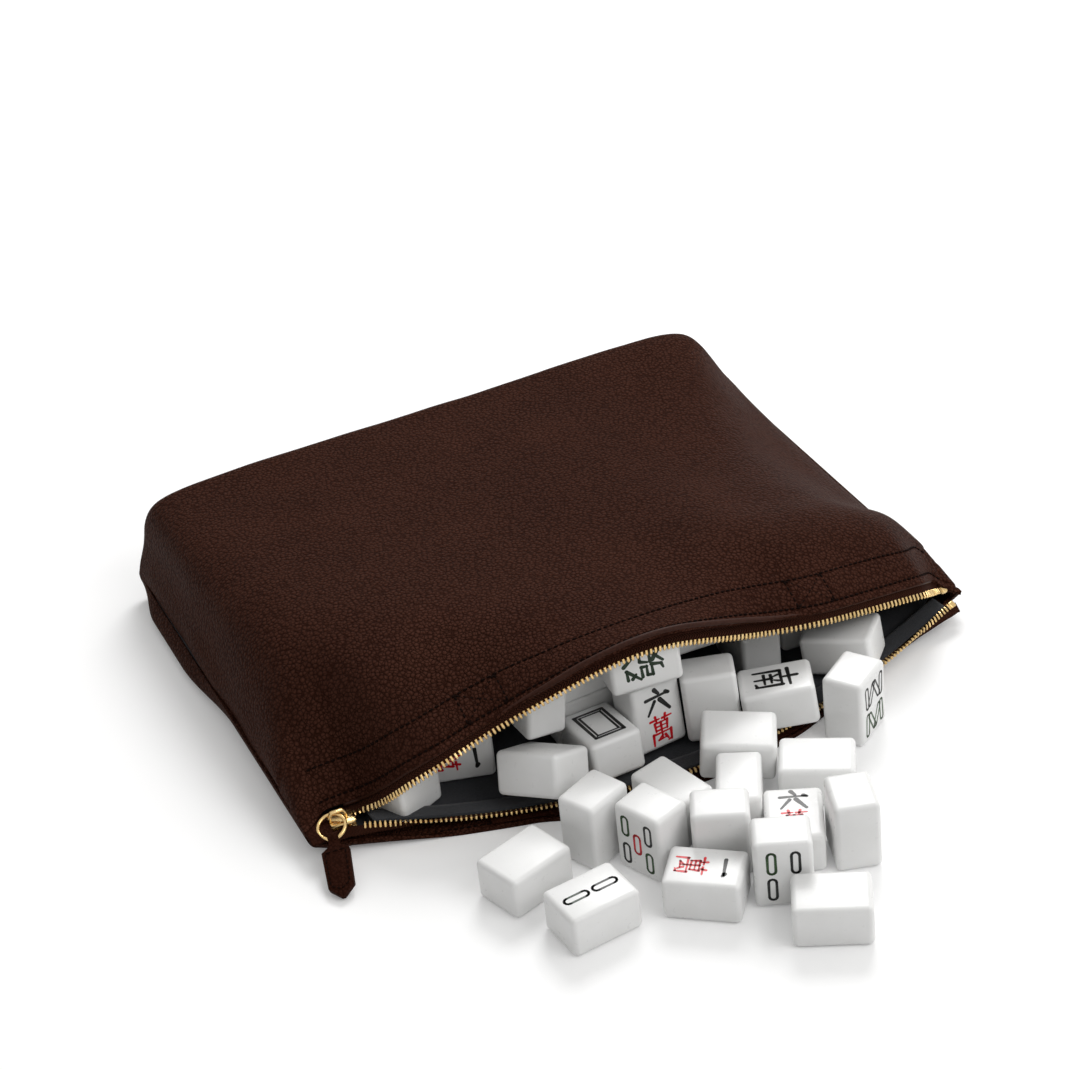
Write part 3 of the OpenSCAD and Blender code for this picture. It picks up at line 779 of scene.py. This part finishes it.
softened("slider_body", "slider_casting", 0.28, BRASS, "slider")
softened("slider_bridge", "slider_arch", 0.25, BRASS, "slider")
frame["nodes"]["zip_bottom_stop"].data.materials.clear()
frame["nodes"]["zip_bottom_stop"].data.materials.append(BRASS)

TOOTH_PITCH, TOOTH_W, TOOTH_REACH, TOOTH_GRIP, TOOTH_T = 2.12, 1.08, 1.6, 1.35, 1.6


def on_tape(x, upper):
    """The frame at the tape's edge: X away from the tape, Y out of it and Z along the zip."""
    p = upper_line(x) if upper else lower_line(x)
    d = upper_dir(x) if upper else lower_dir(x)
    t = slope(x, upper)
    n = d.cross(t).normalized()
    o = n.cross(t)
    return Matrix(((o.x, n.x, t.x, p.x), (o.y, n.y, t.y, p.y), (o.z, n.z, t.z, p.z), (0, 0, 0, 1)))


def tooth():
    """A tooth: a plain block over the edge of the tape, and a narrower head towards the other row."""
    shape = bmesh.new()
    for x0, x1, thick, width, soft in ((-TOOTH_GRIP, 1.1, TOOTH_T, TOOTH_W, 0.24),
                                       (0.8, TOOTH_REACH, TOOTH_T * 0.7, TOOTH_W * 0.86, 0.3)):
        part = bmesh.new()
        bmesh.ops.create_cube(part, size=1, matrix=Matrix.Translation(((x0 + x1) / 2, 0, 0))
                              @ Matrix.Diagonal((x1 - x0, thick, width, 1)))
        bmesh.ops.bevel(part, geom=part.edges[:], offset=soft, affect="EDGES", segments=1, profile=0.5, material=-1)
        add_part(shape, part)
    mesh = bpy.data.meshes.new("tooth")
    shape.to_mesh(mesh)
    shape.free()
    return mesh


def zip_teeth():
    one = tooth()
    for name, upper, start in (("front_zip_teeth", True, CHAIN_X0 + 0.4), ("back_zip_teeth", False, CHAIN_X0 + 1.45)):
        row = bmesh.new()
        x = start
        while x < ZIP_X1 - 2:
            first = len(row.verts)
            row.from_mesh(one)
            row.verts.ensure_lookup_table()
            bmesh.ops.transform(row, verts=row.verts[first:], matrix=Matrix.Scale(MM, 4) @ on_tape(x, upper))
            x += TOOTH_PITCH * slope(x, upper).x
        make_piece(name.replace("zip", "gold"), row, BRASS, "case", [name], smooth=False)
    bpy.data.meshes.remove(one)
    stops = bmesh.new()
    for upper in (True, False):
        part = bmesh.new()
        bmesh.ops.create_cube(part, size=1, matrix=Matrix.Diagonal((3.2, 2.6, 3.4, 1)))
        bmesh.ops.bevel(part, geom=part.edges[:], offset=0.6, affect="EDGES", segments=3, profile=0.5, material=-1)
        bmesh.ops.transform(part, verts=part.verts, matrix=Matrix.Scale(MM, 4) @ on_tape(ZIP_X1 - 1.6, upper))
        add_part(stops, part)
    make_piece("gold_top_stops", stops, BRASS, "case", ["zip_top_stops"])


zip_teeth()

# The slider's sizes are part.scad's
CAD_TOOTH_T, PLATE_GAP, PLATE_T, BRIDGE_H, BRIDGE_X = 2.2, 0.3, 1.2, 2.8, -1.5
SLIDER_TOP = ZIP_H + CAD_TOOTH_T / 2 + PLATE_GAP + PLATE_T
RING_R, WIRE_D, PULL_TURN, TAB_TURN, RING_DROP = 6, 1.6, -138.5, 31.5, 22
at_ring = (Matrix.Translation((ZIP_X0 + BRIDGE_X, MOUTH_Y, SLIDER_TOP + BRIDGE_H))
           @ Matrix.Rotation(math.radians(PULL_TURN), 4, "Z") @ Matrix.Rotation(math.radians(RING_DROP), 4, "Y"))


def pull_ring():
    shape = bmesh.new()
    bmesh.ops.create_circle(shape, segments=20, radius=WIRE_D / 2,
                            matrix=Matrix.Translation((RING_R, 0, 0)) @ Matrix.Rotation(math.pi / 2, 4, "X"))
    bmesh.ops.spin(shape, geom=shape.verts[:] + shape.edges[:], cent=(0, 0, 0), axis=(0, 0, 1),
                   angle=2 * math.pi, steps=72, use_merge=True)
    bmesh.ops.remove_doubles(shape, verts=shape.verts, dist=1e-4)
    bmesh.ops.recalc_face_normals(shape, faces=shape.faces)
    shape.transform(Matrix.Scale(MM, 4) @ at_ring @ Matrix.Translation((RING_R, 0, 0)))
    make_piece("gold_ring", shape, BRASS, "ring", ["pull_ring"])


pull_ring()


# ---- Stitches

STITCH_PITCH = 2.8


def add_stitch(shape, start, end, out, thread=1.1, proud=0.2):
    """One thread that dips into its holes at both ends."""
    along = end - start
    length = along.length
    along = along / length
    side = out.cross(along).normalized()
    out = along.cross(side)
    place = Matrix((
        (along.x, side.x, out.x, (start.x + end.x) / 2 + out.x * proud),
        (along.y, side.y, out.y, (start.y + end.y) / 2 + out.y * proud),
        (along.z, side.z, out.z, (start.z + end.z) / 2 + out.z * proud),
        (0, 0, 0, 1)))
    bmesh.ops.create_uvsphere(shape, u_segments=8, v_segments=5, radius=0.5,
                              matrix=Matrix.Scale(MM, 4) @ place @ Matrix.Diagonal((length, thread, thread * 0.8, 1)))


def stitch_path(shape, points, gap=0.6, sunk=0.16, **how):
    """Sews along a path of (point, outward direction) pairs, with one stitch for each STITCH_PITCH of it."""
    run, marks = 0.0, [(0.0, points[0])]
    for a, b in zip(points, points[1:]):
        run += (b[0] - a[0]).length
        marks.append((run, b))
    count = max(1, round(run / STITCH_PITCH))

    def along(distance):
        for (r0, a), (r1, b) in zip(marks, marks[1:]):
            if distance <= r1 or r1 == run:
                t = clamp((distance - r0) / max(1e-6, r1 - r0))
                return a[0].lerp(b[0], t), a[1].lerp(b[1], t).normalized()

    for k in range(count):
        a, out = along(run * k / count + gap / 2)
        b, _ = along(run * (k + 1) / count - gap / 2)
        add_stitch(shape, a - out * sunk, b - out * sunk, out, **how)


def hem_path(x0, x1, d0, d1, steps):
    return [hem.at(mix(x0, x1, k / steps), round(mix(d0, d1, k / steps), 2)) for k in range(steps + 1)]


def hem_stitches():
    shape = bmesh.new()
    for distance in (HEM_NEAR, HEM_FAR):
        stitch_path(shape, hem_path(-149, 153, distance, distance, 200))
    inner, outer = GRIP_L / 2, GRIP_L / 2 + BOX_L
    for side in (-1, 1):
        for x in (inner, outer):
            stitch_path(shape, hem_path(side * x, side * x, HEM_NEAR, HEM_FAR, 4))
        stitch_path(shape, hem_path(side * inner, side * outer, HEM_NEAR, HEM_FAR, 6))
        stitch_path(shape, hem_path(side * inner, side * outer, HEM_FAR, HEM_NEAR, 6))
    make_piece("hem_stitches", shape, THREAD, "case")


def back_hem_stitches():
    shape = bmesh.new()
    upper = [(Vector((x, back_edge(x) + 2.2, LEATHER_T)), Vector((0, 0, 1))) for x in range(-126, 48, 4)]
    stitch_path(shape, upper, sunk=0.1)
    make_piece("back_hem_stitches", shape, THREAD, "case")


hem_stitches()
back_hem_stitches()


# ---- Pull tab

TAB_L, TAB_W, TAB_T, TAB_RISE = 29, 12, 3, 1
SEW_IN, SEW_TIP, SEW_FOLD = 1.5, 3.2, 7.2
at_tab = (at_ring @ Matrix.Translation((RING_R, 0, 0)) @ Matrix.Rotation(math.radians(TAB_TURN), 4, "Z")
          @ Matrix.Translation((RING_R, 0, 0)) @ Matrix.Rotation(math.radians(-TAB_RISE), 4, "Y")
          @ Matrix.Translation((-0.2, 0, 0)))


def pull_tab():
    softened("pull_tab", "leather_tab", 0.45, TAB_LEATHER, "tab", segments=3, angle=20)
    tip, shoulder, side = TAB_L - SEW_TIP, TAB_L - TAB_W * 0.4 - 1, TAB_W / 2 - SEW_IN
    outline = [(tip, 0), (shoulder, TAB_W * 0.46 - SEW_IN), (SEW_FOLD, side),
               (SEW_FOLD, -side), (shoulder, -TAB_W * 0.46 + SEW_IN), (tip, 0)]
    shape = bmesh.new()
    for side in (1, -1):
        out = (at_tab.to_3x3() @ Vector((0, 0, side))).normalized()
        ring = [at_tab @ Vector((x, y, side * TAB_T / 2)) for x, y in outline]
        for a, b in zip(ring, ring[1:]):
            stitch_path(shape, [(a, out), (b, out)], gap=0.5, sunk=0.0, thread=0.6)
    make_piece("tab_stitches", shape, THREAD, "tab")


pull_tab()


# ---- Tiles

TILE_L, TILE_W, TILE_T, TILE_R = 32, 24, 19, 1.8
FLAT, EDGE, END = (TILE_L, TILE_W, TILE_T), (TILE_L, TILE_T, TILE_W), (TILE_W, TILE_T, TILE_L)

# Name, how the tile lies, and its place: x, y from the zip, height (or None on the table), turn, pitch, roll
TILES = (
    ("front_left", FLAT, -89.5, -68, None, 18, 0, 0),
    ("two_bamboo", FLAT, -76, -103, None, 6.5, 0, 0),
    ("one_character", FLAT, -30.5, -113.5, None, -38, 0, 0),
    ("front_right", FLAT, 5, -152, None, -28, 0, 0),
    ("stand_left", END, -54, -61.5, None, 25, 0, 0),
    ("five_bamboo", END, -37.5, -81, None, -67, 0, 0),
    ("stand_right", END, 35, -117, None, -108, 0, 0),
    ("three_bamboo", END, -1, -123.5, None, -25, 0, 0),
    ("edge_middle", EDGE, 5.5, -75.5, None, 61.5, 0, 0),
    ("stand_middle", END, -13.5, -95.5, None, -26, 0, 0),
    ("edge_left", EDGE, -19.5, -64, None, -75, 0, 0),
    ("six_character", FLAT, 16, -102.8, None, 63.5, 0, 0),
    ("flat_right", FLAT, 42.5, -75, None, -31, 0, 0),
    ("eight_bamboo", END, 76.5, -47.5, None, 34.5, 0, 0),
    ("on_lip", FLAT, 18.9, -49.9, 16.7, -28, 5, 4),
    ("south_wind", FLAT, 48.3, -31.9, 18.7, -22.5, -5.5, -3.5),
    ("lean_plain", END, 21.9, -19.9, 21.2, -22, -3, -5.5),
    ("lean_six_character", END, -4.1, -11.7, 20.9, 6, 0.5, -8.5),
    ("green_dragon", EDGE, -6.3, -12.1, 50.3, -7, -1.5, -8.5),
    ("white_dragon", FLAT, -29, -17, 15.9, 92, 8.5, 0),
    ("mouth_left", FLAT, -114.5, 9.5, 12.9, -65, 0.5, 0),
    ("mouth_one_character", EDGE, -84.1, 14.5, 15.9, -17.5, 0, 1.5),
    ("mouth_tilted", FLAT, -60.7, -26.1, 20.6, -57, -14.5, -24),
    ("mouth_upper", EDGE, -51.6, 3.3, 37.2, 94.5, 1, 8),
    ("mouth_lower", EDGE, -25, 11, 16, 0, 0, 0),
    ("mouth_top", FLAT, -24.8, 11.2, 38.4, 4, 0, -0.5),
    ("mouth_back", FLAT, 24.7, 7.5, 43.9, 3, 4.5, -4),
    ("mouth_side", EDGE, 59, 15.5, 16, 86, 0, 0),
    ("mouth_last", EDGE, 85, 26.5, 16, 86, 0, 0),
    ("mouth_right", FLAT, 92.7, -9.9, 15.6, -43.5, -7.5, -1.5),
)

# Brush strokes of the traditional characters, as start, end and width on a sheet of this size
SHEET_W, SHEET_H, BRUSH = 10, 12, 1.36
CHARACTERS = {
    "ten_thousand": (
        ((0.8, 10.5), (4.4, 10.6), 0.75), ((5.7, 10.5), (9.4, 10.7), 0.75),
        ((3.0, 11.9), (3.3, 9.7), 0.85), ((7.2, 11.9), (6.7, 9.7), 0.85),
        ((2.5, 9.1), (2.7, 5.8), 0.85), ((2.5, 9.1), (7.7, 9.2), 0.65), ((7.7, 9.3), (7.3, 5.9), 0.9),
        ((2.8, 7.5), (7.3, 7.6), 0.6), ((2.7, 5.9), (7.4, 5.9), 0.65), ((5.0, 9.1), (5.0, 2.2), 0.8),
        ((1.4, 4.6), (1.2, 0.3), 0.9), ((1.4, 4.5), (8.7, 4.7), 0.7), ((8.7, 4.8), (8.5, 0.7), 0.95),
        ((8.5, 0.8), (7.3, 0.5), 0.7), ((5.0, 3.4), (3.2, 1.8), 0.7), ((3.2, 1.8), (6.6, 2.1), 0.65),
        ((6.2, 3.2), (7.1, 1.5), 0.9)),
    "one": (((0.8, 5.8), (9.2, 6.4), 1.15), ((8.6, 6.7), (9.4, 6.2), 1.5)),
    "six": (
        ((4.4, 11.4), (5.6, 9.5), 1.3), ((0.5, 7.9), (9.5, 8.4), 0.95), ((8.6, 8.7), (9.5, 8.2), 1.3),
        ((3.9, 6.3), (0.9, 1.0), 1.0), ((6.0, 6.4), (9.2, 1.2), 1.35)),
    "south": (
        ((1.0, 9.6), (9.0, 9.9), 0.9), ((5.0, 11.9), (5.0, 7.7), 1.0), ((1.5, 7.5), (1.3, 0.5), 1.0),
        ((1.4, 7.5), (8.7, 7.7), 0.8), ((8.7, 7.8), (8.6, 0.9), 1.05), ((8.6, 1.0), (7.2, 0.6), 0.8),
        ((3.5, 6.8), (4.1, 5.7), 0.8), ((6.6, 6.9), (6.0, 5.7), 0.8), ((3.0, 4.9), (7.1, 5.0), 0.75),
        ((2.7, 3.0), (7.4, 3.1), 0.75), ((5.0, 5.0), (5.0, 0.7), 0.95)),
    "green_luck": (
        ((1.2, 11.0), (4.2, 11.2), 0.8), ((4.2, 11.2), (0.6, 7.4), 0.9), ((1.3, 9.7), (2.4, 8.7), 0.9),
        ((5.8, 11.8), (9.6, 7.4), 1.0), ((9.0, 11.5), (7.4, 10.0), 0.8), ((9.7, 10.2), (8.3, 8.9), 0.8),
        ((1.1, 6.7), (4.3, 6.8), 0.8), ((4.3, 6.8), (4.2, 5.2), 0.85), ((1.4, 5.2), (4.3, 5.2), 0.75),
        ((1.4, 5.2), (1.1, 3.6), 0.85), ((1.1, 3.6), (4.5, 3.7), 0.8), ((4.5, 3.7), (4.0, 0.9), 0.95),
        ((4.0, 0.9), (2.7, 0.5), 0.8), ((6.1, 7.0), (5.5, 5.0), 0.85), ((6.1, 7.0), (8.5, 7.0), 0.8),
        ((8.5, 7.0), (8.6, 5.3), 0.85), ((8.6, 5.3), (9.6, 5.3), 0.8), ((5.4, 4.0), (9.0, 4.1), 0.8),
        ((8.9, 4.1), (5.0, 0.4), 0.95), ((5.9, 3.3), (9.7, 0.4), 1.1)),
}


def tile_place(size, x, y, height, turn, pitch, roll):
    z = size[2] / 2 if height is None else height
    return (Matrix.Translation((x, MOUTH_Y + y, z)) @ Matrix.Rotation(math.radians(turn), 4, "Z")
            @ Matrix.Rotation(math.radians(pitch), 4, "Y") @ Matrix.Rotation(math.radians(roll), 4, "X"))


def tile_block(size):
    """A block with well rounded edges and corners."""
    shape = bmesh.new()
    bmesh.ops.create_cube(shape, size=1, matrix=Matrix.Diagonal((*size, 1)))
    bmesh.ops.bevel(shape, geom=shape.edges[:], offset=TILE_R + 0.6, affect="EDGES", segments=5,
                    profile=0.5, material=-1)
    return shape


class Marks:
    """Painted marks on one face of a tile. Right and up are directions on that face."""

    LAYER = 0.05

    def __init__(self, face, right, up):
        self.face = Matrix((
            (right[0], up[0], right[1] * up[2] - right[2] * up[1], face[0]),
            (right[1], up[1], right[2] * up[0] - right[0] * up[2], face[1]),
            (right[2], up[2], right[0] * up[1] - right[1] * up[0], face[2]),
            (0, 0, 0, 1)))
        self.paints = {}

    def stroke(self, paint, a, b, width, taper=0.75):
        """One pass of the brush, full where it starts and narrower where it leaves."""
        a, b = Vector((*a, 0)), Vector((*b, 0))
        along = b - a
        length = along.length
        turn = math.atan2(along.y, along.x)
        piece = bmesh.new()
        bmesh.ops.create_circle(piece, cap_ends=True, segments=12, radius=width / 2)
        for vert in piece.verts:
            if vert.co.x > 1e-5:
                vert.co.x += length
                vert.co.y *= taper
        place = self.face @ Matrix.Translation((a.x, a.y, self.LAYER)) @ Matrix.Rotation(turn, 4, "Z")
        bmesh.ops.transform(piece, verts=piece.verts, matrix=place)
        add_part(self.paints.setdefault(paint, bmesh.new()), piece)

    def character(self, name, paint, middle, width, height):
        """A character with its middle there, fitted from the sheet to this width and height."""
        for a, b, thick in CHARACTERS[name]:
            ends = []
            for x, y in (a, b):
                x, y = (x - SHEET_W / 2) / SHEET_W * width, (y - SHEET_H / 2) / SHEET_H * height
                ends.append((middle[0] + x, middle[1] + y))
            self.stroke(paint, *ends, BRUSH * thick * width / SHEET_W)

    def outline(self, paint, points, width):
        for a, b in zip(points, points[1:] + points[:1]):
            self.stroke(paint, a, b, width, taper=1)

    def bamboo(self, paint, middle, length, width, slant=0.0, line=1.2):
        """A long hollow capsule."""
        r = width / 2
        c, s = turned(slant)
        half = length / 2 - r
        points = []
        for end in (0, 1):
            for k in range(7):
                a = math.radians(180 * end + 30 * k)
                x, y = r * math.cos(a), r * math.sin(a) + (half if end == 0 else -half)
                points.append((middle[0] + x * c - y * s, middle[1] + x * s + y * c))
        self.outline(paint, points, line)

    def finish(self, name, body, place):
        for paint, shape in self.paints.items():
            bmesh.ops.transform(shape, verts=shape.verts, matrix=Matrix.Scale(MM, 4) @ place)
            make_piece(name + "_" + paint + "_paint", shape, PAINTS[paint], body, smooth=False)


def top_marks():
    """The top of a tile that lies flat: right is across it and up is along it."""
    return Marks((0, 0, TILE_T / 2), (0, -1, 0), (1, 0, 0))


def side_marks(lying=False):
    """The face towards -y, upright on a standing tile, or turned so that up is along a tile on its edge."""
    if lying:
        return Marks((0, -TILE_T / 2, 0), (0, 0, -1), (1, 0, 0))
    return Marks((0, -TILE_T / 2, 0), (1, 0, 0), (0, 0, 1))


def marks_for(name):
    if name == "two_bamboo":
        marks = top_marks()
        marks.bamboo("deep", (0, -6.6), 11, 3.4)
        marks.bamboo("black", (0, 6.6), 11, 3.4)
    elif name in ("one_character", "mouth_one_character", "six_character"):
        marks = side_marks(True) if name.startswith("mouth") else top_marks()
        marks.character("ten_thousand", "red", (0, -5.6), 11.5, 13.2)
        if name == "six_character":
            marks.character("six", "black", (0, 7.4), 12, 12)
        else:
            marks.character("one", "black", (0, 8.0), 11, 9)
    elif name == "lean_six_character":
        marks = side_marks()
        marks.character("six", "black", (0, 7.2), 12.5, 12.5)
        marks.character("ten_thousand", "red", (0, -6.6), 12, 13.6)
    elif name == "five_bamboo":
        marks = side_marks()
        for x, y, paint in ((-6, 7, "green"), (6, 7, "black"), (0, 0, "red"), (-6, -7, "black"), (6, -7, "green")):
            marks.bamboo(paint, (x, y), 9.6, 3.2)
    elif name == "three_bamboo":
        marks = side_marks()
        for x, y, paint in ((-4.8, 6.6, "green"), (4.8, 6.6, "black"), (-4.8, -6.6, "black")):
            marks.bamboo(paint, (x, y), 10.5, 3.2)
    elif name == "eight_bamboo":
        marks = side_marks()
        for flip, paint in ((1, "black"), (-1, "green")):
            for x, slant in ((-6.6, 4), (-2.4, -26), (2.4, 26), (6.6, -4)):
                marks.bamboo(paint, (x, flip * 7), 11, 2.6, slant * flip, 1.05)
    elif name == "white_dragon":
        marks = top_marks()
        for w, h in ((13.5, 21.5), (10, 18)):
            marks.outline("black", [(-w / 2, -h / 2), (w / 2, -h / 2), (w / 2, h / 2), (-w / 2, h / 2)], w / 8.5)
        for x in (-1, 1):
            for y in (-1, 1):
                marks.stroke("black", (x * 5, y * 9), (x * 6.75, y * 10.75), 0.6, 1)
    elif name == "green_dragon":
        marks = Marks((0, -TILE_T / 2, 0), (0, 0, 1), (-1, 0, 0))
        marks.character("green_luck", "deep", (0, 1), 14.5, 18)
    elif name == "south_wind":
        marks = top_marks()
        marks.character("south", "black", (0, 0), 15, 19)
    elif name == "mouth_right":
        marks = top_marks()
        marks.character("one", "black", (0, -12), 5, 5)
    else:
        return None
    return marks


for name, size, *spot in TILES:
    place = tile_place(size, *spot)
    node = "tile_" + name
    body = node if node in frame["bodies"] else "case"
    block = tile_block(size)
    bmesh.ops.transform(block, verts=block.verts, matrix=Matrix.Scale(MM, 4) @ place)
    make_piece("white_" + node, block, RESIN, body, [node])
    marks = marks_for(name)
    if marks:
        marks.finish("mark_" + name, body, place)


# ---- Studio

def looks(nodes, links):
    """1 where the camera, a mirror or a glass looks, and 0 for the light that falls on things."""
    rays = nodes.new("ShaderNodeLightPath")
    value = rays.outputs["Is Camera Ray"]
    for kind in ("Is Glossy Ray", "Is Transmission Ray"):
        either = nodes.new("ShaderNodeMath")
        either.operation = "MAXIMUM"
        links.new(value, either.inputs[0])
        links.new(rays.outputs[kind], either.inputs[1])
        value = either.outputs[0]
    return value


def with_white(nodes, links, plain, strength):
    """Adds white where the camera, a mirror or a glass looks, and leaves the rest to the lamps."""
    level = nodes.new("ShaderNodeMath")
    level.operation = "MULTIPLY"
    level.inputs[1].default_value = strength
    links.new(looks(nodes, links), level.inputs[0])
    glow = nodes.new("ShaderNodeEmission")
    links.new(level.outputs[0], glow.inputs["Strength"])
    both = nodes.new("ShaderNodeAddShader")
    links.new(plain.outputs[0], both.inputs[0])
    links.new(glow.outputs[0], both.inputs[1])
    return both


def studio():
    paper = bpy.data.materials.new("white studio floor")
    paper.use_nodes = True
    tree = paper.node_tree
    tree.nodes.clear()
    matt = tree.nodes.new("ShaderNodeBsdfDiffuse")
    matt.inputs["Color"].default_value = (0.9, 0.9, 0.9, 1)
    out = tree.nodes.new("ShaderNodeOutputMaterial")
    tree.links.new(with_white(tree.nodes, tree.links, matt, 0.14).outputs[0], out.inputs["Surface"])
    shape = bmesh.new()
    bmesh.ops.create_grid(shape, x_segments=1, y_segments=1, size=6)
    mesh = bpy.data.meshes.new("floor")
    shape.to_mesh(mesh)
    shape.free()
    mesh.materials.append(paper)
    floor = bpy.data.objects.new("floor", mesh)
    bpy.context.scene.collection.objects.link(floor)
    floor.location.z = -0.0002

    world = bpy.data.worlds.new("studio")
    bpy.context.scene.world = world
    world.use_nodes = True
    nodes, links = world.node_tree.nodes, world.node_tree.links
    nodes.clear()
    room = nodes.new("ShaderNodeBackground")
    room.inputs["Color"].default_value = (1.0, 0.995, 0.985, 1)
    facing = nodes.new("ShaderNodeTexCoord")
    bright_side = nodes.new("ShaderNodeVectorMath")
    bright_side.operation = "DOT_PRODUCT"
    bright_side.inputs[1].default_value = Vector((0.62, 0.35, 0.70)).normalized()
    links.new(facing.outputs["Generated"], bright_side.inputs[0])
    level = nodes.new("ShaderNodeMapRange")
    for limit, number in (("From Min", -0.8), ("From Max", 0.9), ("To Min", 0.06), ("To Max", 0.78)):
        level.inputs[limit].default_value = number
    links.new(bright_side.outputs["Value"], level.inputs["Value"])
    links.new(level.outputs["Result"], room.inputs["Strength"])
    white = nodes.new("ShaderNodeBackground")
    white.inputs["Strength"].default_value = 1.0
    pick = nodes.new("ShaderNodeMixShader")
    links.new(looks(nodes, links), pick.inputs[0])
    links.new(room.outputs[0], pick.inputs[1])
    links.new(white.outputs[0], pick.inputs[2])
    end = nodes.new("ShaderNodeOutputWorld")
    links.new(pick.outputs[0], end.inputs["Surface"])

    for name, spot, size, watts in (
            ("key_lamp", (0.7, 0.9, 1.25), 0.8, 14.5),
            ("fill_lamp", (0.7, -1.2, 1.3), 1.2, 9.0)):
        lamp = bpy.data.lights.new(name, "AREA")
        lamp.shape = "DISK"
        lamp.size = size
        lamp.energy = watts
        holder = bpy.data.objects.new(name, lamp)
        bpy.context.scene.collection.objects.link(holder)
        holder.location = spot
        holder.rotation_euler = (Vector((0, -0.06, 0)) - Vector(spot)).to_track_quat("-Z", "Y").to_euler()


studio()
bpy.context.scene.view_settings.view_transform = "Standard"
